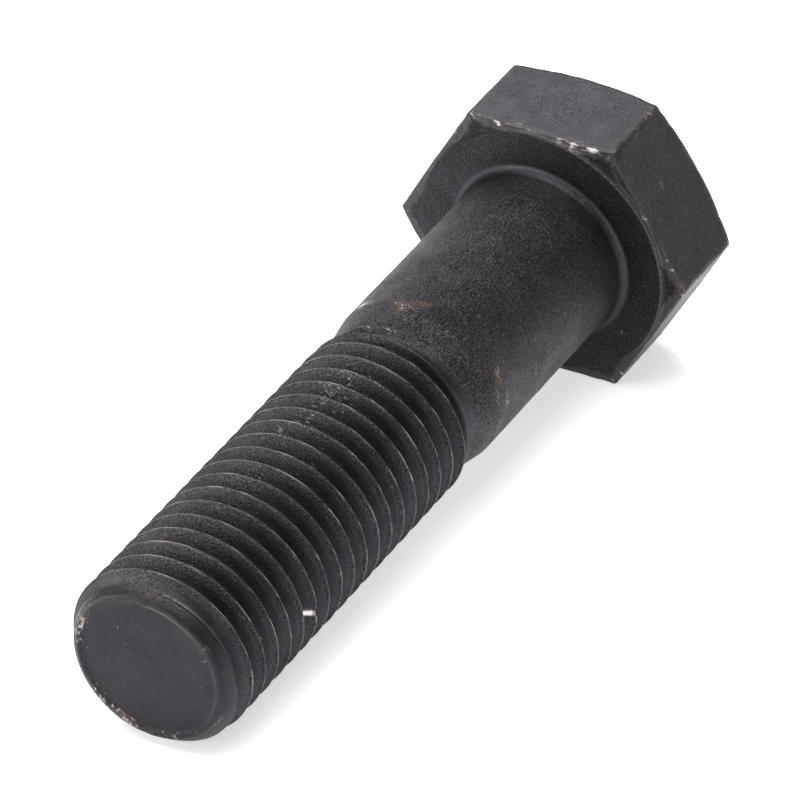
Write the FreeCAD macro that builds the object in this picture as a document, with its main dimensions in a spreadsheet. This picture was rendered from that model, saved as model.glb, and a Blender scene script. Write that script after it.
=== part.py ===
"""Hex bolt M20 x 80, partly threaded, in one forged and rolled piece.

The bolt lies along X: head towards +X, point towards -X, one pair of wrench flats
facing up and down. The origin is on the bolt's axis in the bearing plane under the head.
Millimetres.
"""
import FreeCAD, Part
import os
import Sketcher

BROKEN_STATES = ("Invalid", "Error")

# The driving dimensions. Everything else is worked out from these.
DRIVING = {
    "bolt_length": 80.0,  # bearing plane to the flat end
    "thread_size": 20.0,  # nominal diameter of the thread
    "pitch": 2.5,
    "shank_dia": 19.9,  # plain part of the shank, just under the thread's size
    "crest_dia": 19.95,  # over the thread's crests
    "across_flats": 30.0,
    "head_height": 12.5,
    "crown_dia": 27.0,  # the flat circle left on top of the head
    "crown_slope": 25.0,  # degrees between the crown's chamfer and its flat top
    "washer_face_dia": 29.1,
    "washer_face_height": 0.4,
    "washer_face_flare": 0.35,  # how much wider the washer face is where it joins the head
    "under_head_radius": 1.0,
    "shank_end": 26.6,  # bearing plane to where the shank starts to narrow
    "neck_end": 31.7,  # bearing plane to the narrowest place before the thread
    "neck_slope": 11.0,  # degrees
    "thread_rise": 45.0,  # degrees, where the first crests rise out of the neck
    "point_dia": 17.1,  # end of the point's chamfer, about the thread's root diameter
    "point_slope": 35.0,  # degrees between the point's chamfer and the axis
    "cup_dia": 15.1,  # flat floor of the cup that rolling leaves in the end face
    "cup_depth": 0.25,
    "cup_rim": 0.6,  # width of the flat rim round the cup
    "thread_plane_angle": 50.0,  # degrees from +Y towards +Z, where the groove reaches the neck
    "last_groove": 31.153,  # bearing plane to the middle of the groove in that plane
    "groove_turns": 21.0,
    "run_out_turns": 0.25,
    "run_out_lift": 0.95,  # how far the groove's bottom climbs out over the run-out
}

# Lengths that follow from the driving dimensions, as spreadsheet formulas.
SHANK_R = "sizes.shank_dia / 2"
CREST_R = "sizes.crest_dia / 2"
POINT_R = "sizes.point_dia / 2"
WASHER_R = "sizes.washer_face_dia / 2"
CORNER_R = "sizes.across_flats / sqrt(3)"
CROWN_R = "sizes.crown_dia / 2"
CROWN_LEVEL = f"(sizes.head_height - ({CORNER_R} - {CROWN_R}) * tan(sizes.crown_slope))"
NECK_R = f"({SHANK_R} - (sizes.neck_end - sizes.shank_end) * tan(sizes.neck_slope))"
RISE_END = f"(sizes.neck_end + ({CREST_R} - {NECK_R}) / tan(sizes.thread_rise))"
POINT_START = f"(sizes.bolt_length - ({CREST_R} - {POINT_R}) / tan(sizes.point_slope))"

# ISO metric thread form: 60 degree flanks, pitch line 3/8 of the sharp height below the size.
SHARP_HEIGHT = "(sizes.pitch * sqrt(3) / 2)"
PITCH_R = f"(sizes.thread_size / 2 - {SHARP_HEIGHT} * 3 / 8)"
ROOT_RADIUS = f"({SHARP_HEIGHT} / 6)"
ROOT_R = f"({PITCH_R} - {SHARP_HEIGHT} / 2 + {ROOT_RADIUS})"
CUTTER_R = f"({CREST_R} + 0.15)"


def new_sizes(doc):
    """The spreadsheet that holds the driving dimensions, one alias for each."""
    sheet = doc.addObject("Spreadsheet::Sheet", "sizes")
    for row, (alias, value) in enumerate(DRIVING.items(), start=1):
        sheet.set(f"A{row}", alias)
        sheet.set(f"B{row}", str(value))
        sheet.setAlias(f"B{row}", alias)
    doc.recompute()
    return sheet


def value_of(obj, formula):
    """The number that a spreadsheet formula gives now."""
    result = obj.evalExpression(formula)
    return float(getattr(result, "Value", result))


def new_sketch(body, name, plane_role):
    """An empty sketch on one of the body's own origin planes."""
    plane = next(p for p in body.Origin.OriginFeatures if p.Role == plane_role)
    sketch = body.newObject("Sketcher::SketchObject", name)
    sketch.AttachmentSupport = (plane, "")
    sketch.MapMode = "FlatFace"
    return sketch


def point_at(sketch, corner):
    """The sketch point that a pair of formulas gives."""
    return FreeCAD.Vector(value_of(sketch, corner[0]), value_of(sketch, corner[1]), 0)


def pin_point(sketch, edge, end, formulas):
    """Hold one end of a sketch line at the place that two formulas give."""
    for kind, formula in zip(("DistanceX", "DistanceY"), formulas):
        value = value_of(sketch, formula)
        if abs(value) < 1e-9:
            on_axis = -2 if kind == "DistanceX" else -1
            sketch.addConstraint(Sketcher.Constraint("PointOnObject", edge, end, on_axis))
            continue
        index = sketch.addConstraint(Sketcher.Constraint(kind, -1, 1, edge, end, value))
        sketch.setExpression(f"Constraints[{index}]", formula)


def close_outline(sketch, corners):
    """Join the sketch's sides end to end and hold their first ends at the corners."""
    count = len(corners)
    for i in range(count):
        sketch.addConstraint(Sketcher.Constraint("Coincident", i, 2, (i + 1) % count, 1))
    for i, corner in enumerate(corners):
        pin_point(sketch, i, 1, corner)


def draw_outline(sketch, corners):
    """A closed outline of straight lines through corners given as pairs of formulas."""
    points = [point_at(sketch, corner) for corner in corners]
    for start, end in zip(points, points[1:] + points[:1]):
        sketch.addGeometry(Part.LineSegment(start, end), False)
    close_outline(sketch, corners)


def add_head(body):
    """The hexagonal head with its crown chamfered all round."""
    outline = new_sketch(body, "HeadOutline", "YZ_Plane")
    outline.setExpression(".AttachmentOffset.Base.z", "sizes.washer_face_height")
    corners = []
    for i in range(6):
        corners.append((f"{CORNER_R} * cos({60 * i})", f"{CORNER_R} * sin({60 * i})"))
    draw_outline(outline, corners)
    head = body.newObject("PartDesign::Pad", "Head")
    head.Profile = outline
    head.setExpression("Length", "sizes.head_height - sizes.washer_face_height")

    waste = new_sketch(body, "CrownWaste", "XZ_Plane")
    beyond = 2
    slope = "tan(sizes.crown_slope)"
    draw_outline(waste, [
        ("sizes.head_height", CROWN_R),
        (f"{CROWN_LEVEL} - {beyond} * {slope}", f"{CORNER_R} + {beyond}"),
        (f"sizes.head_height + {beyond}", f"{CORNER_R} + {beyond}"),
        (f"sizes.head_height + {beyond}", CROWN_R),
    ])
    crown = body.newObject("PartDesign::Groove", "Crown")
    crown.Profile = waste
    crown.ReferenceAxis = (waste, ["H_Axis"])
    crown.Angle = 360
    return crown


def add_shank(body):
    """Washer face, plain shank, neck, blank of the thread, chamfered point and cupped end."""
    half_section = new_sketch(body, "ShankSection", "XZ_Plane")
    inside_head = "sizes.head_height / 2"
    cup_floor = "sizes.cup_depth - sizes.bolt_length"
    draw_outline(half_section, [
        (inside_head, "0"),
        (inside_head, SHANK_R),
        ("sizes.washer_face_height", SHANK_R),
        ("sizes.washer_face_height", f"{WASHER_R} + sizes.washer_face_flare"),
        ("0", WASHER_R),
        ("0", SHANK_R),
        ("-sizes.shank_end", SHANK_R),
        ("-sizes.neck_end", NECK_R),
        (f"-{RISE_END}", CREST_R),
        (f"-{POINT_START}", CREST_R),
        ("-sizes.bolt_length", POINT_R),
        ("-sizes.bolt_length", f"{POINT_R} - sizes.cup_rim"),
        (cup_floor, "sizes.cup_dia / 2"),
        (cup_floor, "0"),
    ])
    shank = body.newObject("PartDesign::Revolution", "Shank")
    shank.Profile = half_section
    shank.ReferenceAxis = (half_section, ["H_Axis"])
    shank.Angle = 360
    return shank


def round_under_head(body, shank):
    """The fillet where the shank meets the bearing face."""
    body.Document.recompute()
    radius = value_of(shank, SHANK_R)
    corners = []
    for number, edge in enumerate(shank.Shape.Edges, start=1):
        circle = edge.Curve
        if not isinstance(circle, Part.Circle) or abs(circle.Radius - radius) > 1e-6:
            continue
        if abs(circle.Center.x) < 1e-6:
            corners.append(f"Edge{number}")
    if len(corners) != 1:
        raise RuntimeError(f"{len(corners)} edges found where the shank meets the bearing face")
    fillet = body.newObject("PartDesign::Fillet", "UnderHeadFillet")
    fillet.Base = (shank, corners)
    fillet.setExpression("Radius", "sizes.under_head_radius")
    return fillet


def draw_groove_section(body, name, middle):
    """Section of the thread's groove in a plane through the axis, its bottom rounded."""
    sketch = new_sketch(body, name, "XZ_Plane")
    for direction, formula in (("x", "1"), ("y", "0"), ("z", "0")):
        sketch.setExpression(f".AttachmentOffset.Rotation.Axis.{direction}", formula)
    sketch.setExpression(".AttachmentOffset.Rotation.Angle", "sizes.thread_plane_angle - 90")

    mouth = f"(sizes.pitch / 4 + ({CUTTER_R} - {PITCH_R}) * tan(30))"
    root_side = f"({ROOT_RADIUS} * cos(30))"
    root_level = f"({ROOT_R} + {ROOT_RADIUS} * (1 - sin(30)))"
    corners = [
        (f"{middle} - {mouth}", CUTTER_R),
        (f"{middle} - {root_side}", root_level),
        (f"{middle} + {root_side}", root_level),
        (f"{middle} + {mouth}", CUTTER_R),
    ]
    left, root_left, root_right, right = [point_at(sketch, corner) for corner in corners]
    sketch.addGeometry(Part.LineSegment(left, root_left), False)
    root = sketch.addGeometry(Part.Arc(root_left, point_at(sketch, (middle, ROOT_R)), root_right), False)
    sketch.addGeometry(Part.LineSegment(root_right, right), False)
    sketch.addGeometry(Part.LineSegment(right, left), False)
    close_outline(sketch, corners)
    radius = sketch.addConstraint(
        Sketcher.Constraint("Radius", root, value_of(sketch, ROOT_RADIUS))
    )
    sketch.setExpression(f"Constraints[{radius}]", ROOT_RADIUS)
    return sketch


def cut_groove(body, name, section, turns):
    """Cut the groove's section along a right-hand helix about the bolt's axis."""
    groove = body.newObject("PartDesign::SubtractiveHelix", name)
    groove.Profile = section
    groove.ReferenceAxis = (section, ["H_Axis"])
    groove.Mode = "pitch-turns-angle"
    groove.setExpression("Pitch", "sizes.pitch")
    groove.setExpression("Turns", turns)
    groove.LeftHanded = False
    groove.Reversed = False
    return groove


def add_thread(body):
    """The thread's groove, and its run-out, where it climbs out of the neck."""
    thread_length = "sizes.groove_turns * sizes.pitch"
    start = draw_groove_section(body, "GrooveStart", f"-(sizes.last_groove + {thread_length})")
    thread = cut_groove(body, "Thread", start, "sizes.groove_turns")

    end = draw_groove_section(body, "GrooveEnd", "-sizes.last_groove")
    run_out = cut_groove(body, "RunOut", end, "sizes.run_out_turns")
    advance = "(sizes.run_out_turns * sizes.pitch)"
    run_out.setExpression("Angle", f"atan(sizes.run_out_lift / {advance})")
    return thread, run_out


def check_document(doc, nodes):
    """Stop if any object failed to build or any sub-part's shape isn't a sound solid."""
    for obj in doc.Objects:
        broken = [state for state in obj.State if state in BROKEN_STATES]
        if broken:
            raise RuntimeError(f"{obj.Name} is {broken}")
    for node in nodes:
        if node.Shape.isNull() or not node.Shape.isValid() or len(node.Shape.Solids) != 1:
            raise RuntimeError(f"{node.Label} isn't one valid solid")


def check_cut(cut):
    """Stop if a cut removed nothing from the feature before it."""
    removed = cut.BaseFeature.Shape.Volume - cut.Shape.Volume
    if removed < 1:
        raise RuntimeError(f"{cut.Label} cut only {removed:.2f} mm3")


def main():
    doc = FreeCAD.newDocument("HexBolt")
    new_sizes(doc)
    bolt = doc.addObject("PartDesign::Body", "HexBolt")
    bolt.Label = "hex_bolt"
    bolt.Placement = FreeCAD.Placement()

    crown = add_head(bolt)
    shank = add_shank(bolt)
    round_under_head(bolt, shank)
    thread, run_out = add_thread(bolt)
    doc.recompute()
    for cut in (crown, thread, run_out):
        check_cut(cut)

    check_document(doc, [bolt])
    os.makedirs("parts", exist_ok=True)
    bolt.Shape.exportStep(f"parts/{bolt.Label}.step")
    print(f"{bolt.Label}: {bolt.Shape.Volume:.1f} mm3, {len(bolt.Shape.Faces)} faces")


main()
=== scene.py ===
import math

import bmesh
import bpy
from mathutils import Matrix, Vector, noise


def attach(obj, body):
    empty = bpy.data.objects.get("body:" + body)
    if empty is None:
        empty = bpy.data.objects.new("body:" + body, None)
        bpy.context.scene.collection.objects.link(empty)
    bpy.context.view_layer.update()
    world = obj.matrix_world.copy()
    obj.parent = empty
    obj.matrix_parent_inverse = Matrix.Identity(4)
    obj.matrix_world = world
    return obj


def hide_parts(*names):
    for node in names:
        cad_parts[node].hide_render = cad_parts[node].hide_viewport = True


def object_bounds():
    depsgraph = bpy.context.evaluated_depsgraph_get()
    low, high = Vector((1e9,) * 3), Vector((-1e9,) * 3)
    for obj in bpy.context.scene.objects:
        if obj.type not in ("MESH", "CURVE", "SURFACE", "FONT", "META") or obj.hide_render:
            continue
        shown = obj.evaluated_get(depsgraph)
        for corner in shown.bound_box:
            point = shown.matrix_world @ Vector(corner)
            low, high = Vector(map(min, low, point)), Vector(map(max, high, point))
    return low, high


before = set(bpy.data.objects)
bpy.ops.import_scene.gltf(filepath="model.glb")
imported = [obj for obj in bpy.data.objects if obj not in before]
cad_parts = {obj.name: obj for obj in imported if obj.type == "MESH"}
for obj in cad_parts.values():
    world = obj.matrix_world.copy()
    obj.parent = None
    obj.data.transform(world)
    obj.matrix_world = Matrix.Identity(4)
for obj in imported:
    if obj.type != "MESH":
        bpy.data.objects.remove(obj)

# Hex bolt M20 x 80 in blackened steel, lying on a pale studio floor.
#
# The bolt lies along X, head towards +X and point towards -X, one pair of wrench flats
# facing up and down. The origin is on its axis in the bearing plane under the head.
# Angles round the axis are in degrees from +Y towards +Z. The bolt is shaped in
# millimetres and scaled to metres when it is finished.

MM = 0.001
cad_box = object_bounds()

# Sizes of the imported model, in millimetres.
LOW, HIGH = (corner / MM for corner in cad_box)
BOLT_END = LOW.x
HEAD_TOP = HIGH.x
HALF_FLATS = HIGH.z
CORNER_R = HALF_FLATS / math.cos(math.radians(30))

# Plain shank, neck and point.
SHANK_R = 9.95
CREST_R = 9.975
NECK_START = -26.6
NECK_END = -31.7
NECK_R = 8.959
RISE_END = -32.716
POINT_START = -77.965
POINT_R = 8.55
CUP_R = 7.55
CUP_RIM = 0.6
CUP_DEPTH = 0.25
CUP_EDGE_R = 7.65

# Thread: right-hand, 60 degree flanks.
PITCH = 2.5
PITCH_R = 9.188
ROOT_R = 8.466
ROOT_RADIUS = 0.361
FLANK_RISE = math.sqrt(3)
PLANE_ANGLE = 50.0  # where the last full groove reaches the neck
LAST_GROOVE = -31.153
RUN_OUT = 90.0  # degrees over which the groove climbs out
RUN_OUT_LIFT = 0.95
GROOVE_TURNS = 21  # turns from the last groove to beyond the point
UNCUT_R = CREST_R + 2  # clear of the blank, where no groove is cut

# Head.
FILLET_R = 1.0
FILLET_PEAK_R = 10.5  # where the fillet catches the light
WASHER_R = 14.55
WASHER_HEIGHT = 0.4
WASHER_FOOT_R = 14.9
CROWN_R = 13.5
CROWN_SLOPE = math.tan(math.radians(25))
CORNER_ROUND = 0.5
EDGE_ROUND = 0.3  # lower edge of the wrench flats
EDGE_ROUND_FADE = 0.6  # the rounding shrinks where the washer face is nearer than this
FLAT_START = 0.32  # where the flats begin, above the washer face's foot
CROWN_ROUND = 0.12  # softening between the flats and the crown
BEARING_SIDE = -0.2  # past here a vertex belongs to the head

# Mesh steps.
GROOVE_STATIONS = (0, 0.16, 0.31, 0.6, 0.87, 1.02, 1.085, 1.15, PITCH / 2)
THREAD_STEPS = 150
SPUN_TURNS = GROOVE_TURNS + 2
FILLET_STEPS = 8
FLAT_ROWS = 20
SHANK_ROWS = 70
HEAD_STEPS = 240
STRIP_END = -28.4
RUN_OUT_STRIP = (-33.4, -29.0)  # meshed more finely
TIP_CUT = -79.82
JOIN_X = -2.2
JOIN_GAP = 0.3
WELD = 0.002
SLIVER = 0.0005


def clipped(value, low=0, high=1):
    """A value kept between two limits."""
    return min(max(value, low), high)


def soft_min(a, b, reach):
    """The smaller of two radii, rounded where they meet."""
    nearness = max(reach - abs(a - b), 0) / reach
    return min(a, b) - nearness * nearness * reach / 4


def angle_of(point):
    """Angle round the bolt's axis, in degrees."""
    return math.degrees(math.atan2(point.z, point.y))


def radius_of(point):
    """Distance from the bolt's axis."""
    return math.hypot(point.y, point.z)


def place(point, x, radius, angle):
    """Put a vertex at a radius and an angle round the axis."""
    turn = math.radians(angle)
    point.co = (x, radius * math.cos(turn), radius * math.sin(turn))


def blank_radius(x):
    """Radius of the turned blank: shank, neck, thread part and chamfered point."""
    corners = [
        (BOLT_END, POINT_R), (POINT_START, CREST_R), (RISE_END, CREST_R),
        (NECK_END, NECK_R), (NECK_START, SHANK_R), (0, SHANK_R),
    ]
    for (x0, r0), (x1, r1) in zip(corners, corners[1:]):
        if x <= x1:
            return r0 + (r1 - r0) * (x - x0) / (x1 - x0)
    return SHANK_R


def blank_soft_radius(x, reach=0.25):
    """The blank's radius with its changes of slope rounded over."""
    samples = [blank_radius(x + reach * step) for step in (-1, -0.5, 0, 0.5, 1)]
    return sum(samples) / len(samples)


def groove_radius(offset):
    """Radius of the thread's groove at a distance along the axis from its middle."""
    away = abs(offset)
    if away < ROOT_RADIUS * math.cos(math.radians(30)):
        return ROOT_R + ROOT_RADIUS - math.sqrt(ROOT_RADIUS**2 - away**2)
    return PITCH_R + (away - PITCH / 4) * FLANK_RISE


def thread_place(x, angle):
    """The nearest groove's turn number, how far off it is, and the angle past the neck's plane."""
    turned = (angle - PLANE_ANGLE + 180) % 360 - 180
    middle = LAST_GROOVE + PITCH * turned / 360
    turn = round((middle - x) / PITCH)
    return turn, x - (middle - PITCH * turn), turned


def only(kind, geometry):
    """The vertices, edges or faces among an operator's results."""
    return [item for item in geometry if isinstance(item, kind)]


def spin_thread(bm):
    """One turn of a sharp thread, repeated along the bolt, joined and cut square."""
    offsets = [-s for s in reversed(GROOVE_STATIONS[1:])] + list(GROOVE_STATIONS)
    start = LAST_GROOVE - PITCH * (PLANE_ANGLE / 360 + GROOVE_TURNS)
    chain = [bm.verts.new((start + s, groove_radius(s), 0)) for s in offsets]
    edges = [bm.edges.new(pair) for pair in zip(chain, chain[1:])]
    bmesh.ops.spin(
        bm, geom=chain + edges, cent=(0, 0, 0), axis=(1, 0, 0),
        dvec=(PITCH / THREAD_STEPS, 0, 0), angle=math.tau, steps=THREAD_STEPS,
    )
    first = bm.verts[:] + bm.edges[:] + bm.faces[:]
    for turn in range(1, SPUN_TURNS):
        copy = bmesh.ops.duplicate(bm, geom=first)["geom"]
        verts = only(bmesh.types.BMVert, copy)
        bmesh.ops.translate(bm, verts=verts, vec=(PITCH * turn, 0, 0))
    bmesh.ops.remove_doubles(bm, verts=bm.verts[:], dist=WELD)
    for x, keep_above in ((TIP_CUT, True), (STRIP_END, False)):
        bmesh.ops.bisect_plane(
            bm, geom=bm.verts[:] + bm.edges[:] + bm.faces[:], dist=0.0001,
            plane_co=(x, 0, 0), plane_no=(1, 0, 0),
            clear_inner=keep_above, clear_outer=not keep_above,
        )


def refine(bm, low, high):
    """Divide every face between two places along the bolt in four."""
    edges = [e for e in bm.edges if all(low < v.co.x < high for v in e.verts)]
    bmesh.ops.subdivide_edges(bm, edges=edges, cuts=1, use_grid_fill=True)


def turn_down(bm):
    """Cut the sharp thread down to the blank and let its last groove climb out."""
    for v in bm.verts:
        x, radius, angle = v.co.x, radius_of(v.co), angle_of(v.co)
        turn, _, turned = thread_place(x, angle)
        if turn < 0:
            radius = UNCUT_R
        elif turn == 0 and turned > 0:
            radius += RUN_OUT_LIFT * turned / RUN_OUT
            if turned > RUN_OUT * 1.5:
                radius = UNCUT_R
        place(v, x, soft_min(radius, blank_soft_radius(x), 0.08), angle)


def open_loop(bm, x):
    """The open boundary nearest to a place along the bolt."""
    return [
        e for e in bm.edges
        if e.is_boundary and abs((e.verts[0].co.x + e.verts[1].co.x) / 2 - x) < 0.3
    ]


def carry_on(bm, loop, rings):
    """Carry an open loop on through rings, each a rule from angle to (x, radius, angle)."""
    for ring in rings:
        grown = bmesh.ops.extrude_edge_only(bm, edges=loop)["geom"]
        verts = only(bmesh.types.BMVert, grown)
        fresh = set(verts)
        loop = [e for e in only(bmesh.types.BMEdge, grown) if set(e.verts) <= fresh]
        for v in verts:
            angle = angle_of(v.co)
            place(v, *ring(angle))
    return loop


def circle(x, radius):
    """A round ring."""
    return lambda angle: (x, radius, angle)


def crowd(angle):
    """Move evenly spaced angles closer to the head's corners."""
    corner = 60 * round(angle / 60)
    away = (angle - corner) / 30
    return corner + 30 * math.copysign(abs(away) ** 1.6, away)


def from_corner(angle):
    """Degrees from the nearest corner of the hexagon."""
    return abs((angle + 30) % 60 - 30)


def hexagon(angle):
    """Distance from the axis to the hexagon, whose corners are rounded."""
    away = from_corner(angle)
    flat = HALF_FLATS / math.cos(math.radians(30 - away))
    centre = (HALF_FLATS - CORNER_ROUND) / math.cos(math.radians(30))
    tangent = centre + CORNER_ROUND * math.cos(math.radians(30))
    reach = math.degrees(math.atan2(CORNER_ROUND / 2, tangent))
    if away > reach:
        return flat
    turn = math.radians(away)
    sideways = centre * math.sin(turn)
    return centre * math.cos(turn) + math.sqrt(CORNER_ROUND**2 - sideways**2)


def edge_rounding(outer):
    """Size of the lower edge's rounding where the hexagon is this far from the axis."""
    return EDGE_ROUND * min((outer - WASHER_FOOT_R) / EDGE_ROUND_FADE, 1)


def crown_level(radius):
    """Height of the crown's chamfer at a distance from the axis."""
    return HEAD_TOP - max(radius - CROWN_R, 0) * CROWN_SLOPE


def under_head(share):
    """Ring between the washer face's foot and the head's lower edge."""
    def ring(angle):
        outer = hexagon(angle)
        rim = outer - edge_rounding(outer)
        return WASHER_HEIGHT, WASHER_FOOT_R + (rim - WASHER_FOOT_R) * share, angle
    return ring


def lower_edge(step):
    """Ring of the rounded lower edge of the head, step going from 0 to 1."""
    def ring(angle):
        outer = hexagon(angle)
        size = edge_rounding(outer)
        turn = math.radians(90 * step)
        radius = outer - size * (1 - math.sin(turn))
        return WASHER_HEIGHT + size * (1 - math.cos(turn)), radius, angle
    return ring


def flat_row(share):
    """Ring up the wrench flats, from the rounded lower edge to the crown's edge."""
    def ring(angle):
        radius = hexagon(angle)
        low, high = WASHER_HEIGHT + FLAT_START, crown_level(radius) - CROWN_ROUND
        return low + (high - low) * share, radius, angle
    return ring


def crown_row(share):
    """Ring up the crown's chamfer, from just inside the wrench flats to the flat top."""
    def ring(angle):
        radius = hexagon(angle) - CROWN_ROUND
        radius += (CROWN_R - radius) * share
        return crown_level(radius) - 0.03 * (share == 0), radius, angle
    return ring


def head_rings():
    """Every ring from the shank under the head to the middle of its top."""
    rings = []
    for step in range(1, FILLET_STEPS + 1):
        turn = math.radians(90 * step / FILLET_STEPS)
        x = -FILLET_R * (1 - math.sin(turn))
        rings.append(circle(x, SHANK_R + FILLET_R * (1 - math.cos(turn))))
    # The washer face, its rounded edge and its foot.
    rings += [circle(0, radius) for radius in (11.3, 11.8)]
    rings.append(lambda angle: (0, 12.8, crowd(angle)))
    rings += [circle(0, radius) for radius in (13.4, 13.9, 14.3, WASHER_R - 0.12)]
    rings += [circle(0.02, WASHER_R - 0.03), circle(0.09, WASHER_R + 0.03)]
    rings += [circle(0.24, 14.7), circle(0.36, 14.82), circle(WASHER_HEIGHT, WASHER_FOOT_R)]
    # The hexagon.
    rings += [under_head(share) for share in (0.12, 0.4, 0.75, 1)]
    rings += [lower_edge(step) for step in (0.25, 0.5, 0.75, 1)]
    rings += [flat_row(row / FLAT_ROWS) for row in range(FLAT_ROWS + 1)]
    # The crown.
    rings += [crown_row(share) for share in (0, 0.03, 0.25, 0.5, 0.75, 0.97)]
    rings += [circle(HEAD_TOP - 0.02, CROWN_R - 0.03), circle(HEAD_TOP, CROWN_R - 0.15)]
    rings += [circle(HEAD_TOP, radius) for radius in (12, 9, 6, 3)]
    return rings


def close_end(bm, loop, x):
    """Close a ring with a fan of faces round one vertex on the axis."""
    grown = bmesh.ops.extrude_edge_only(bm, edges=loop)["geom"]
    verts = only(bmesh.types.BMVert, grown)
    bmesh.ops.pointmerge(bm, verts=verts, merge_co=(x, 0, 0))


def end_rings():
    """Every ring round the end's raised rim and over its flat, slightly sunken face."""
    floor = BOLT_END + CUP_DEPTH
    inner = POINT_R - CUP_RIM
    rim = (
        (0.12, POINT_R - 0.02), (0.03, POINT_R - 0.1), (0, POINT_R - 0.22),
        (0, inner + 0.14), (0.02, inner + 0.02), (0.08, inner - 0.09),
    )
    cup = ((-0.06, CUP_R + 0.09), (-0.01, CUP_R), (0, CUP_R - 0.12))
    rings = [circle(BOLT_END + rise, radius) for rise, radius in rim]
    rings += [circle(floor + rise, radius) for rise, radius in cup]
    rings += [circle(floor, CUP_R - 0.5 * step) for step in range(1, 15)]
    return rings


def build_bolt():
    """The whole bolt as one closed mesh."""
    bm = bmesh.new()
    spin_thread(bm)
    refine(bm, *RUN_OUT_STRIP)
    turn_down(bm)

    tip = open_loop(bm, TIP_CUT)
    close_end(bm, carry_on(bm, tip, end_rings()), BOLT_END + CUP_DEPTH)

    neck = open_loop(bm, STRIP_END)
    shank = []
    for row in range(1, SHANK_ROWS + 1):
        x = STRIP_END + (JOIN_X - JOIN_GAP - STRIP_END) * row / SHANK_ROWS
        shank.append(circle(x, blank_soft_radius(x)))
    shank_end = carry_on(bm, neck, shank)

    turned = Matrix.Translation((JOIN_X, 0, 0)) @ Matrix.Rotation(math.radians(90), 4, "Y")
    seat = bmesh.ops.create_circle(bm, segments=HEAD_STEPS, radius=SHANK_R, matrix=turned)
    ring = set(seat["verts"])
    for v in ring:
        angle = round(angle_of(v.co) * HEAD_STEPS / 360) * 360 / HEAD_STEPS
        place(v, JOIN_X, SHANK_R, angle)
    start = [e for e in bm.edges if set(e.verts) <= ring]
    close_end(bm, carry_on(bm, start, head_rings()), HEAD_TOP)
    bmesh.ops.bridge_loops(bm, edges=shank_end + start)
    bmesh.ops.dissolve_degenerate(bm, edges=bm.edges[:], dist=SLIVER)
    bmesh.ops.recalc_face_normals(bm, faces=bm.faces[:])
    return bm


def near(distance, reach):
    """1 at no distance, fading to 0 over a few times the reach."""
    return math.exp(-((distance / reach) ** 2))


def angle_between(a, b):
    """The smaller angle between two directions round the axis."""
    return abs((a - b + 180) % 360 - 180)


def facing(angle, side):
    """1 on one side of the bolt, fading to 0 away from it."""
    middle, spread = side
    return near(angle_between(angle, middle), spread)


# What each vertex holds for the steel to show, painted shade and painted highlights among it.
MARKS = ("crest", "deep", "smooth", "sheen", "edge", "bare", "rust")

# Sides of the bolt that are worn, or that carry painted highlights or painted shade: middle and
# spread, in degrees.
THREAD_TOP = (80, 32)
FIRST_CREST_HIGHLIGHT_SIDE = (115, 60)
FILLET_HIGHLIGHT_SIDE = (125, 50)
BEARING_SHADED_SIDE = (175, 65)
SHADOWED_CORNER = (121, 11)
STEP_SHADOW_SIDE = (85, 38)
WASHER_RIM_HIGHLIGHT_SIDE = (160, 50)
HEAD_LIT_SIDE = (90, 40)
SHANK_SHADED_FRONT = (115, 35)
SHANK_SHADED_UNDERSIDE = (195, 30)
SHANK_RUBBED_SIDE = (165, 35)
END_RIM_SIDE = (340, 75)
CUP_EDGE_SIDE = (110, 50)
END_LIP_SIDE = (95, 38)

WORN_CREST = 1.12  # from a groove's middle to the worn edge of its crest
THREAD_FADE_END = RISE_END + 2.6  # where the thread's marks fade out by the neck
THREAD_FADE = 1.2
END_LIP_R = 8.1
KNOCKS_FROM_R = 7  # nearer the axis than this no dent reaches
STAINS_FROM_R = 7.5


# Dents and chips: (x, angle, half length along the bolt, half width round it, depth, bare
# metal, rust), in millimetres and degrees, the last two from 0 to 1.
KNOCKS = [
    (-64.5, 184, 1.0, 3.2, 0.35, 1.0, 0.0),
    (-41.7, 179, 0.5, 3.0, 0.15, 0.0, 0.2),
    (-75.6, 170, 0.5, 3.0, 0.12, 0.0, 0.2),
    (-68.0, 160, 0.6, 5.0, 0.12, 0.0, 0.2),
    (-60.6, 190, 0.6, 4.0, 0.15, 0.0, 0.2),
    (0.5, 119, 0.7, 1.3, 0.5, 0.3, 0.5),
    (0.6, 121.5, 0.6, 0.9, 0.3, 0.3, 0.5),
    (0.45, 113, 0.22, 3.4, 0.12, 0.9, 0.1),
    (0.8, 111, 0.12, 3.0, 0.03, 0.8, 0.1),
    (0.45, 105, 0.2, 2.4, 0.1, 0.85, 0.1),
    (0.45, 99, 0.2, 1.8, 0.06, 0.75, 0.1),
    (0.45, 86.5, 0.2, 1.8, 0.1, 0.75, 0.1),
    (0.45, 71, 0.22, 1.8, 0.12, 0.9, 0.0),
    (0.5, 61, 0.6, 0.8, 0.2, 0.8, 0.2),
    (0.55, 179, 0.5, 1.4, 0.2, 0.5, 0.7),
    (0.45, 170, 0.2, 4.5, 0.08, 0.55, 0.5),
    (0.45, 147, 0.2, 4.0, 0.05, 0.5, 0.3),
]

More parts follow.
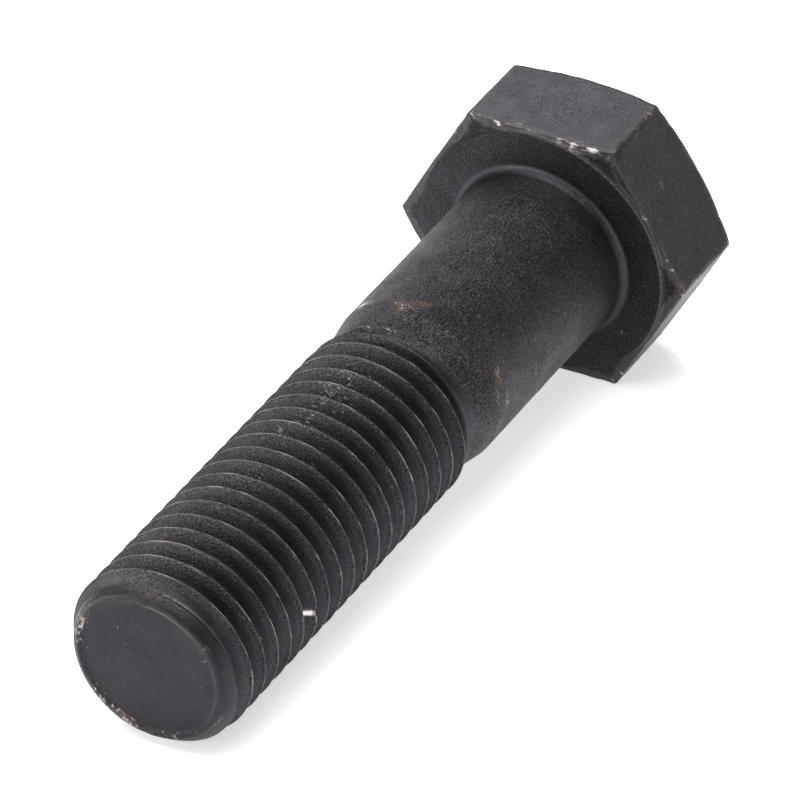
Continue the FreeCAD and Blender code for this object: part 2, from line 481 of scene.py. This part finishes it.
# Places without depth, the same way: bare metal, rust, and darker scale.
STAINS = [
    (-27.0, 83, 1.1, 10, 0.5, 0.9, 0.0),
    (-25.7, 95, 0.8, 7, 0.35, 0.7, 0.0),
    (-26.2, 50, 0.9, 11, 0.8, 0.4, 0.0),
    (-24.8, 60, 0.8, 8, 0.35, 0.5, 0.0),
    (-25.7, 160, 0.8, 9, 0.6, 0.65, 0.0),
    (-24.9, 180, 0.6, 9, 0.7, 0.5, 0.0),
    (-26.5, 172, 0.4, 10, 0.6, 0.5, 0.0),
    (-23.0, 126, 0.8, 3, 0.1, 0.6, 0.0),
    (-28.3, 127, 0.5, 2, 0.1, 0.7, 0.0),
    (-18.9, 179, 0.3, 7, 0.8, 0.1, 0.0),
    (-30.4, 76, 0.2, 24, 0.6, 0.2, 0.0),
    (-24.0, 122, 2.6, 11, 0.0, 0.15, 0.8),
    (-12.0, 112, 8.0, 20, 0.0, 0.0, 0.45),
    (0.8, 107, 0.5, 7, 0.45, 0.1, 0.0),
    (0.6, 88, 0.3, 10, 0.4, 0.1, 0.0),
    (-15.0, 150, 6.0, 12, 0.0, 0.0, 0.25),
    (-44.0, 88, 9.0, 18, 0.42, 0.1, 0.0),
    (-60.0, 84, 7.0, 14, 0.28, 0.15, 0.0),
    (-33.0, 84, 2.5, 12, 0.3, 0.0, 0.0),
    (-72.2, 75, 0.3, 15, 0.5, 0.9, 0.0),
    (-69.4, 80, 0.3, 6, 0.5, 0.7, 0.0),
    (-79.5, 100, 0.5, 24, 0.0, 0.35, 0.0),
    (-79.9, 142, 0.3, 6, 0.35, 0.4, 0.0),
    (-79.4, 168, 0.3, 12, 0.1, 0.3, 0.0),
    (-80.0, 20, 0.35, 24, 0.6, 0.4, 0.0),
    (-80.0, 300, 0.35, 40, 0.55, 0.5, 0.0),
    (-80.0, 250, 0.35, 20, 0.4, 0.3, 0.0),
    (-49.2, 125, 0.2, 11, 0.8, 0.9, 0.0),
    (-54.2, 137, 0.2, 6, 0.8, 0.8, 0.0),
    (-56.7, 140, 0.2, 6, 0.8, 0.8, 0.0),
    (6.0, 120, 5.0, 0.8, 0.1, 0.6, 0.0),
    (9.5, 120.6, 2.0, 1.6, 0.0, 0.5, 0.0),
    (2.0, 62, 1.5, 1.0, 0.1, 0.5, 0.0),
]


def raise_to(v, layer, value):
    """Raise one of a vertex's marks to a value, unless it is higher already."""
    v[layer] = max(v[layer], value)


def mark_thread(v, x, radius, angle, layers):
    """Say how worn and how smooth a vertex of the thread is, with painted shade in its groove and
    a painted highlight on its upper side.
    """
    offset = thread_place(x, angle)[1]
    on_thread = clipped((THREAD_FADE_END - x) / THREAD_FADE)
    depth = clipped((CREST_R - radius) / (CREST_R - ROOT_R))
    v[layers["crest"]] = near(offset + WORN_CREST, 0.06) * on_thread * (depth < 0.25)
    # Painted shade deepening towards the groove's root; past the thread the neck is a little
    # darker.
    v[layers["deep"]] = max(min(depth * 1.35, 1) * on_thread, 0.2 * (1 - on_thread))
    on_top = facing(angle, THREAD_TOP)
    v[layers["smooth"]] = on_thread * min(depth * 3, 1) * (1 - 0.65 * on_top)
    # Painted highlight along the first crest by the point and over the thread's upper side.
    first_crest = near(x - POINT_START, 0.25) * facing(angle, FIRST_CREST_HIGHLIGHT_SIDE)
    v[layers["sheen"]] = 0.8 * first_crest + 0.38 * on_top * on_thread * (1 - depth)


def mark_fillet(v, radius, angle, layers):
    """Paint a highlight along the fillet under the head, most on its lit side, painted shade over
    the rest of it, and smooth it.
    """
    band = near(radius - FILLET_PEAK_R, 0.14)
    raise_to(v, layers["sheen"], 0.26 * band * facing(angle, FILLET_HIGHLIGHT_SIDE))
    # Painted shade over the fillet, lighter along its highlight.
    v[layers["deep"]] = max(v[layers["deep"]], 0.8) * (1 - 0.5 * band)
    raise_to(v, layers["smooth"], near(radius - FILLET_PEAK_R, 0.8))


def mark_shank(v, x, radius, angle, layers):
    """Paint shade on the shank by the head and on its front and underside, darken it a little all
    round, and smooth it towards the fillet.
    """
    # Painted shade on the front and underside over a slightly darker tone all round, and a painted
    # shadow in the crease by the head.
    side_shade = 0.3 + 0.2 * facing(angle, SHANK_SHADED_FRONT) + 0.2 * facing(angle, SHANK_SHADED_UNDERSIDE)
    v[layers["deep"]] = max(0.9 * near(x + 1.3, 1.0), side_shade)
    v[layers["smooth"]] = max(near(x, 2.5), 0.4 * facing(angle, SHANK_RUBBED_SIDE))
    if x > -0.8 * FILLET_R:
        mark_fillet(v, radius, angle, layers)


def mark_head(v, x, radius, angle, layers):
    """Say how near an edge of the head a vertex is, and paint shade under the head and on its
    lower flats and a highlight on the washer face's rim.
    """
    outer = hexagon(angle)
    if x < WASHER_HEIGHT + 0.01:
        # Painted shade under the head, darkest on its lower side, a painted shadow under the
        # corner, and a painted dark line where the washer face's edge shades the step.
        bearing_shade = 0.84 + 0.3 * facing(angle, BEARING_SHADED_SIDE)
        corner_shadow = facing(angle, SHADOWED_CORNER) * (radius > WASHER_R + 0.05)
        step_shadow = 1.3 * near(radius - WASHER_R - 0.03, 0.2) * facing(angle, STEP_SHADOW_SIDE)
        v[layers["deep"]] = max(bearing_shade, corner_shadow, step_shadow)
        v[layers["smooth"]] = 0.45
    if x < 0.2 or radius < outer - 1.2:
        # Painted highlight along the washer face's rim. The fillet's marks, painted shade among
        # them, also reach the crown's flat top.
        rim = near(radius - WASHER_R, 0.13) * facing(angle, WASHER_RIM_HIGHLIGHT_SIDE)
        v[layers["sheen"]] = 0.55 * rim
        mark_fillet(v, radius, angle, layers)
        return
    # Painted shade on the head's sides, least on the upper flat.
    on_top = facing(angle, HEAD_LIT_SIDE)
    v[layers["smooth"]] = 0.88 - 0.18 * on_top
    v[layers["deep"]] = 0.5 - 0.45 * on_top
    along_flat = CORNER_R * math.sin(math.radians(from_corner(angle)))
    level = min(crown_level(outer) - 0.05 - x, x - 0.5)
    v[layers["edge"]] = max(near(along_flat, 0.3), near(level, 0.24))


def mark_point(v, x, radius, angle, layers):
    """Smooth the point and its end face, wear the rim and the cup's edge and give them a painted
    highlight, and darken the lip with rust and painted shade.
    """
    end_face = clipped((BOLT_END + 0.35 - x) * 8)
    raise_to(v, layers["smooth"], max(0.7, end_face * (radius < CUP_R)))
    if x >= BOLT_END + 0.3:
        return
    rim = near(radius - POINT_R + 0.1, 0.16) * facing(angle, END_RIM_SIDE)
    broken = clipped(0.5 + 2.5 * noise.noise(v.co * 0.5))
    cup_edge = near(radius - CUP_EDGE_R, 0.12) * facing(angle, CUP_EDGE_SIDE) * broken
    lip = near(radius - END_LIP_R, 0.2) * facing(angle, END_LIP_SIDE)
    # The rim and the cup's edge are worn and given a painted highlight; the lip gets rust and
    # painted shade.
    raise_to(v, layers["edge"], max(rim, cup_edge))
    raise_to(v, layers["sheen"], max(0.6 * rim, cup_edge))
    raise_to(v, layers["deep"], 0.6 * lip)
    raise_to(v, layers["rust"], 0.5 * lip)


def marks_around(marks, x, angle):
    """The marks by a vertex, each with its distance in half sizes and its strengths."""
    for middle, turn, length, width, *strengths in marks:
        if abs(x - middle) <= 3 * length:
            yield math.hypot((x - middle) / length, angle_between(angle, turn) / width), strengths


def knock_and_stain(v, x, radius, angle, layers):
    """Mark a vertex with the dents and stains around it and say how far it is pushed in."""
    push = 0.0
    if x > -0.3 and radius < hexagon(angle) - 0.8:
        return push
    if radius >= KNOCKS_FROM_R:
        for away, (depth, bare, rust) in marks_around(KNOCKS, x, angle):
            push += depth * near(away, 1)
            raise_to(v, layers["bare"], bare * near(away, 1.2))
            raise_to(v, layers["rust"], rust * near(away, 1.6))
    if radius >= STAINS_FROM_R:
        for away, (bare, rust, scale) in marks_around(STAINS, x, angle):
            raise_to(v, layers["bare"], bare * near(away, 1))
            raise_to(v, layers["rust"], rust * near(away, 1))
            raise_to(v, layers["deep"], scale * near(away, 1))
    return push


def unevenness(v, layers):
    """Break up a crest's wear, and say how far the skin lies below the plain shape."""
    rough = 1 - v[layers["smooth"]] * 0.85
    wave = 0.5 + 0.5 * noise.noise(v.co * 0.35)
    peel = 0.5 + 0.5 * noise.noise(v.co * 1.3)
    v[layers["crest"]] *= clipped(0.6 + 2.2 * noise.noise(v.co * 0.55), 0.08, 1.4)
    worn = v[layers["edge"]] * max(noise.noise(v.co * 0.9) + 0.2, 0)
    worn += v[layers["crest"]] * max(noise.noise(v.co * 0.8), 0) * 0.5
    return 0.05 * wave + 0.035 * rough * peel + 0.12 * worn


def mark_and_knock(bm):
    """Give each vertex its marks, and push in dents and the skin's unevenness."""
    layers = {name: bm.verts.layers.float.new(name) for name in MARKS}
    bm.normal_update()
    moves = []
    for v in bm.verts:
        where = v.co.x, radius_of(v.co), angle_of(v.co)
        if v.co.x < STRIP_END + 1:
            mark_thread(v, *where, layers)
        elif v.co.x > BEARING_SIDE:
            mark_head(v, *where, layers)
        else:
            mark_shank(v, *where, layers)
        if v.co.x < POINT_START:
            mark_point(v, *where, layers)
        push = knock_and_stain(v, *where, layers) + unevenness(v, layers)
        moves.append((v, v.normal * -push))
    for v, move in moves:
        v.co += move


def new_piece(name, bm):
    """An object made from a finished bmesh."""
    mesh = bpy.data.meshes.new(name)
    bm.to_mesh(mesh)
    bm.free()
    piece = bpy.data.objects.new(name, mesh)
    bpy.context.scene.collection.objects.link(piece)
    return piece


def forged_bolt():
    """The bolt, marked and knocked, in metres."""
    bm = build_bolt()
    mark_and_knock(bm)
    bmesh.ops.scale(bm, verts=bm.verts[:], vec=(MM, MM, MM))
    for face in bm.faces:
        face.smooth = True
    return new_piece("forged_bolt", bm)


bolt = forged_bolt()
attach(bolt, "root")
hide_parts("hex_bolt")


def add_node(tree, kind, inputs=None, **settings):
    """A new node with its settings, and its inputs linked or set."""
    node = tree.nodes.new("ShaderNode" + kind)
    for name, value in settings.items():
        setattr(node, name, value)
    for name, value in (inputs or {}).items():
        if isinstance(value, bpy.types.NodeSocket):
            tree.links.new(value, node.inputs[name])
        else:
            node.inputs[name].default_value = value
    return node


def mix_colour(tree, share, first, second):
    """Colour going from the first to the second as the share goes from 0 to 1."""
    node = add_node(tree, "Mix", {0: share, 6: first, 7: second}, data_type="RGBA")
    return node.outputs[2]


def calculate(tree, operation, *values, clamp=False):
    """The result of a Math node."""
    inputs = dict(enumerate(values))
    return add_node(tree, "Math", inputs, operation=operation, use_clamp=clamp).outputs[0]


def new_material(name):
    """A material with its node tree and its shader."""
    material = bpy.data.materials.new(name)
    material.use_nodes = True
    return material, material.node_tree, material.node_tree.nodes["Principled BSDF"]


def new_group(name, inputs, outputs):
    """An empty node group with number or vector sockets."""
    group = bpy.data.node_groups.new(name, "ShaderNodeTree")
    for way, sockets in (("INPUT", inputs), ("OUTPUT", outputs)):
        for socket, kind in sockets.items():
            group.interface.new_socket(name=socket, in_out=way, socket_type="NodeSocket" + kind)
    given = group.nodes.new("NodeGroupInput").outputs
    return group, given, group.nodes.new("NodeGroupOutput").inputs


# Colours of the skin, of what wear and rust lay over it, of painted shade mixed with darker scale,
# and of painted highlights.
DARK_SKIN = (0.033, 0.0315, 0.0355, 1)
PALE_SKIN = (0.052, 0.050, 0.056, 1)
CLOUDED_SKIN = (0.027, 0.026, 0.029, 1)
ROLLED_SKIN = (0.069, 0.066, 0.074, 1)
PIT_BLACK = (0.009, 0.009, 0.009, 1)
# Painted shade, also used for the darker scale of the stains.
SHADE_AND_SCALE_COLOUR = (0.014, 0.013, 0.015, 1)
SPECK = (0.20, 0.18, 0.17, 1)
RUST = (0.125, 0.082, 0.066, 1)
# Painted highlight.
HIGHLIGHT_COLOUR = (0.19, 0.183, 0.19, 1)
RUBBED = (0.17, 0.152, 0.148, 1)
DULL_METAL = (0.20, 0.175, 0.165, 1)
BRIGHT_METAL = (0.42, 0.37, 0.345, 1)
TORN_METAL = (0.85, 0.79, 0.74, 1)

# Sizes of the grain and patches, as repeats in a metre, and the grain's depth in metres.
GRAIN_SCALE = 5600.0
BROAD_SCALE = 700.0
PIT_SCALE = 2200.0
MOTTLE_SCALE = 260.0
CLOUD_SCALE = 60.0
RUST_SCALE = 900.0
EDGE_WEAR_SCALE = 900.0
CREST_WEAR_SCALE = 600.0
BARE_WEAR_SCALE = 2400.0
GRAIN_DEPTH = 0.00016


def patches_group():
    """Node group: noise sharpened into patches, more of them as the cover rises."""
    inputs = {"Vector": "Vector", "Scale": "Float", "Cover": "Float", "Softness": "Float"}
    group, given, made = new_group("patches", inputs, {"Mask": "Float"})
    cells = add_node(group, "TexNoise", {
        "Vector": given["Vector"], "Scale": given["Scale"], "Detail": 5.0, "Roughness": 0.62,
    })
    level = calculate(group, "MULTIPLY_ADD", given["Cover"], -0.5, 0.75)
    low = calculate(group, "SUBTRACT", level, given["Softness"])
    high = calculate(group, "ADD", level, given["Softness"])
    mask = add_node(group, "MapRange", {
        "Value": cells.outputs[0], "From Min": low, "From Max": high,
    }, interpolation_type="SMOOTHSTEP")
    group.links.new(mask.outputs[0], made["Mask"])
    return group


def skin_group():
    """Node group: the grain, pits and bright specks of a forged and quenched skin."""
    inputs = {"Vector": "Vector", "Coarseness": "Float"}
    outputs = {"Height": "Float", "Pits": "Float", "Specks": "Float", "Grit": "Float"}
    group, given, made = new_group("forged_skin", inputs, outputs)
    fine = add_node(group, "TexNoise", {
        "Vector": given["Vector"], "Scale": GRAIN_SCALE, "Detail": 2.0, "Roughness": 0.7,
    })
    broad = add_node(group, "TexNoise", {
        "Vector": given["Vector"], "Scale": BROAD_SCALE, "Detail": 3.0, "Roughness": 0.6,
    })
    pits = add_node(group, "TexVoronoi", {"Vector": given["Vector"], "Scale": PIT_SCALE})
    pit = add_node(group, "MapRange", {
        "Value": pits.outputs["Distance"], "From Min": 0.12, "From Max": 0.34,
        "To Min": 1.0, "To Max": 0.0,
    }, interpolation_type="SMOOTHSTEP")
    chosen = add_node(group, "MapRange", {
        "Value": broad.outputs[0], "From Min": 0.40, "From Max": 0.56,
    })
    pitted = calculate(group, "MULTIPLY", pit.outputs[0], chosen.outputs[0])
    specks = add_node(group, "MapRange", {
        "Value": fine.outputs[0], "From Min": 0.60, "From Max": 0.72,
    })
    height = calculate(group, "MULTIPLY_ADD", broad.outputs[0], 0.25, fine.outputs[0])
    height = calculate(group, "MULTIPLY_ADD", pitted, -0.9, height)
    height = calculate(group, "MULTIPLY", height, given["Coarseness"])
    results = (height, pitted, specks.outputs[0], fine.outputs[0])
    for value, name in zip(results, outputs):
        group.links.new(value, made[name])
    return group


def blackened_steel():
    """Quenched, blackened steel: forged skin, smoother rolled thread, worn edges and rust, with
    painted shade and painted highlights.
    """
    material, tree, shader = new_material("blackened_steel")
    where = add_node(tree, "TexCoord").outputs["Object"]
    drawn = add_node(tree, "Mapping", {"Vector": where, "Scale": (0.8, 1, 1)}).outputs[0]
    around = add_node(tree, "Mapping", {"Vector": where, "Scale": (2.4, 0.8, 0.8)}).outputs[0]
    marks = {}
    for name in MARKS:
        marks[name] = add_node(tree, "Attribute", attribute_name=name).outputs["Fac"]
    patches, skin = patches_group(), skin_group()

    def patch(scale, cover, softness, vector=where):
        inputs = {"Scale": scale, "Cover": cover, "Softness": softness, "Vector": vector}
        return add_node(tree, "Group", inputs, node_tree=patches).outputs["Mask"]

    coarse = calculate(tree, "MULTIPLY_ADD", marks["smooth"], -0.88, 1.0)
    grain = add_node(tree, "Group", {"Vector": drawn, "Coarseness": coarse}, node_tree=skin)

    # The skin, from its plain colour to its pits, painted shade mixed with darker scale, and
    # bright grains.
    mottle = patch(MOTTLE_SCALE, 0.5, 0.2)
    cloud = calculate(tree, "MULTIPLY", patch(CLOUD_SCALE, 0.5, 0.25), 0.35)
    colour = mix_colour(tree, mottle, DARK_SKIN, PALE_SKIN)
    colour = mix_colour(tree, cloud, colour, CLOUDED_SKIN)
    rolled = calculate(tree, "MULTIPLY", marks["smooth"], 0.7)
    colour = mix_colour(tree, rolled, colour, ROLLED_SKIN)
    dark = calculate(tree, "MULTIPLY", grain.outputs["Pits"], coarse)
    dark = calculate(tree, "MULTIPLY", dark, 0.9)
    colour = mix_colour(tree, dark, colour, PIT_BLACK)
    # Painted shade in grooves, under the head and on shaded sides, mixed with darker scale from
    # the stains.
    deep = calculate(tree, "MULTIPLY", marks["deep"], 0.69, clamp=True)
    colour = mix_colour(tree, deep, colour, SHADE_AND_SCALE_COLOUR)
    salt = calculate(tree, "MULTIPLY_ADD", grain.outputs["Grit"], 4.5, -1.75, clamp=True)
    salt = calculate(tree, "MULTIPLY_ADD", salt, 1.2, 0.4)
    salt = calculate(tree, "POWER", salt, coarse)
    salted = add_node(tree, "VectorMath", {0: colour, "Scale": salt}, operation="SCALE")
    specks = calculate(tree, "MULTIPLY", grain.outputs["Specks"], coarse)
    specks = calculate(tree, "MULTIPLY", specks, 0.65)
    colour = mix_colour(tree, specks, salted.outputs[0], SPECK)

    rust_cover = calculate(tree, "MULTIPLY_ADD", marks["rust"], 0.85, 0.05)
    rust = calculate(tree, "MULTIPLY", patch(RUST_SCALE, rust_cover, 0.12), 0.65)
    colour = mix_colour(tree, rust, colour, RUST)

    # Painted highlights, then bare metal on edges, crests, dents and stains.
    sheen = calculate(tree, "MULTIPLY", marks["sheen"], 0.6)
    sheen = calculate(tree, "MULTIPLY", sheen, salt, clamp=True)
    colour = mix_colour(tree, sheen, colour, HIGHLIGHT_COLOUR)
    wear = []
    for name, scale, cover, softness in (
        ("edge", EDGE_WEAR_SCALE, 0.23, 0.05),
        ("crest", CREST_WEAR_SCALE, 0.72, 0.10),
        ("bare", BARE_WEAR_SCALE, 0.7, 0.07),
    ):
        share = calculate(tree, "MULTIPLY", marks[name], cover)
        wear.append(patch(scale, share, softness, around))
    rubbed = calculate(tree, "MULTIPLY", marks["crest"], 0.36)
    rubbed = calculate(tree, "MULTIPLY_ADD", marks["edge"], 0.18, rubbed)
    colour = mix_colour(tree, rubbed, colour, RUBBED)
    edge_wear, crest_wear, bare_wear = wear
    worn = calculate(tree, "MAXIMUM", edge_wear, crest_wear)
    worn = calculate(tree, "MAXIMUM", worn, bare_wear)
    metal = mix_colour(tree, mottle, DULL_METAL, BRIGHT_METAL)
    colour = mix_colour(tree, worn, colour, metal)
    torn = calculate(tree, "MULTIPLY_ADD", marks["bare"], 4.0, -2.6, clamp=True)
    colour = mix_colour(tree, torn, colour, TORN_METAL)
    tree.links.new(colour, shader.inputs["Base Color"])

    rough = add_node(tree, "MapRange", {"Value": mottle, "To Min": 0.60, "To Max": 0.50})
    rough = calculate(tree, "MULTIPLY_ADD", marks["smooth"], -0.08, rough.outputs[0])
    rough = calculate(tree, "MULTIPLY_ADD", rust, 0.3, rough)
    tree.links.new(rough, shader.inputs["Roughness"])
    shader.inputs["Metallic"].default_value = 1.0

    relief = {"Height": grain.outputs["Height"], "Strength": 1.0, "Distance": GRAIN_DEPTH}
    bump = add_node(tree, "Bump", relief)
    tree.links.new(bump.outputs[0], shader.inputs["Normal"])
    return material


bolt.data.materials.append(blackened_steel())


HEAD_REST_X = 0.45  # the head's lower edge, where it stands on the floor
FLOOR_REACH = 3
FLOOR_COLOUR = (0.88, 0.88, 0.9, 1)
FLOOR_GLOW = (0.98, 0.97, 1.0, 1)
FLOOR_GLOW_STRENGTH = 0.56


def pale_floor():
    """A pale, faintly glowing floor that is clear from below."""
    material, tree, shader = new_material("pale_floor")
    shader.inputs["Base Color"].default_value = FLOOR_COLOUR
    shader.inputs["Roughness"].default_value = 0.9
    shader.inputs["Specular IOR Level"].default_value = 0.1
    shader.inputs["Emission Color"].default_value = FLOOR_GLOW
    shader.inputs["Emission Strength"].default_value = FLOOR_GLOW_STRENGTH
    clear = add_node(tree, "BsdfTransparent").outputs[0]
    from_below = add_node(tree, "NewGeometry").outputs["Backfacing"]
    both = add_node(tree, "MixShader", {0: from_below, 1: shader.outputs[0], 2: clear})
    tree.links.new(both.outputs[0], tree.nodes["Material Output"].inputs["Surface"])
    return material


def add_floor():
    """A broad floor under the head's lower edge and the thread's last crests."""
    head_rest = Vector((HEAD_REST_X, 0, -HALF_FLATS)) * MM
    tip_rest = Vector((POINT_START, 0, -CREST_R)) * MM
    along = (head_rest - tip_rest).normalized()
    up = Vector((-along.z, 0, along.x))
    bm = bmesh.new()
    bmesh.ops.create_grid(bm, x_segments=1, y_segments=1, size=FLOOR_REACH)
    turned = Matrix((along, up.cross(along), up)).transposed().to_4x4()
    bmesh.ops.transform(bm, matrix=Matrix.Translation(head_rest) @ turned, verts=bm.verts[:])
    floor = new_piece("studio_floor", bm)
    floor.data.materials.append(pale_floor())


ROOM_LIGHT = 0.38  # brightness of the surroundings, as the bolt is lit by them
BACKDROP_LIGHT = 1.0  # brightness of the backdrop beyond the floor
ROOM_COLOUR = (0.97, 0.98, 1.0, 1)

# Soft lights, all aimed at the bolt's middle: name, place, width and height, and power.
AIM = (-0.03, 0, 0)
SOFTBOXES = [
    ("overhead_softbox", (-0.1, 0.1, 1.3), (1.3, 1.3), 27),
    ("back_left_softbox", (0.8, 0.9, 0.45), (0.9, 0.7), 2.4),
    ("back_high_softbox", (0.75, 0.5, 0.75), (0.45, 0.45), 3.4),
    ("front_left_softbox", (-1.0, 0.8, 0.45), (1.0, 0.7), 9),
]


def add_softbox(name, stand, size, power):
    """A soft rectangular light."""
    data = bpy.data.lights.new(name, "AREA")
    data.shape = "RECTANGLE"
    data.size, data.size_y = size
    data.energy = power
    lamp = bpy.data.objects.new(name, data)
    lamp.location = stand
    lamp.rotation_euler = (Vector(AIM) - Vector(stand)).to_track_quat("-Z", "Y").to_euler()
    bpy.context.scene.collection.objects.link(lamp)


def add_studio():
    """Dim surroundings and large soft lights."""
    world = bpy.data.worlds.new("studio")
    bpy.context.scene.world = world
    world.use_nodes = True
    tree = world.node_tree
    background = tree.nodes["Background"]
    background.inputs["Color"].default_value = ROOM_COLOUR
    seen = add_node(tree, "LightPath").outputs["Is Camera Ray"]
    extra = BACKDROP_LIGHT - ROOM_LIGHT
    strength = calculate(tree, "MULTIPLY_ADD", seen, extra, ROOM_LIGHT)
    tree.links.new(strength, background.inputs["Strength"])
    for softbox in SOFTBOXES:
        add_softbox(*softbox)


CAMERA_PLACE = (-0.52861, -0.29997, 0.42842)
CAMERA_FORWARD = (0.6901, 0.4151, -0.5928)
CAMERA_UP = (0.5271, 0.2730, 0.8048)
LENS = 315
SENSOR = 36


def add_camera():
    """The camera, looking down along the bolt from the point's end."""
    data = bpy.data.cameras.new("camera")
    data.lens = LENS
    data.sensor_width = SENSOR
    data.clip_start = 0.05
    data.clip_end = 20
    camera = bpy.data.objects.new("camera", data)
    forward = Vector(CAMERA_FORWARD).normalized()
    right = forward.cross(Vector(CAMERA_UP)).normalized()
    axes = Matrix((right, right.cross(forward), -forward)).transposed()
    camera.matrix_world = Matrix.Translation(CAMERA_PLACE) @ axes.to_4x4()
    bpy.context.scene.collection.objects.link(camera)
    bpy.context.scene.camera = camera


add_floor()
add_studio()
add_camera()
bpy.context.scene.view_settings.view_transform = "Standard"
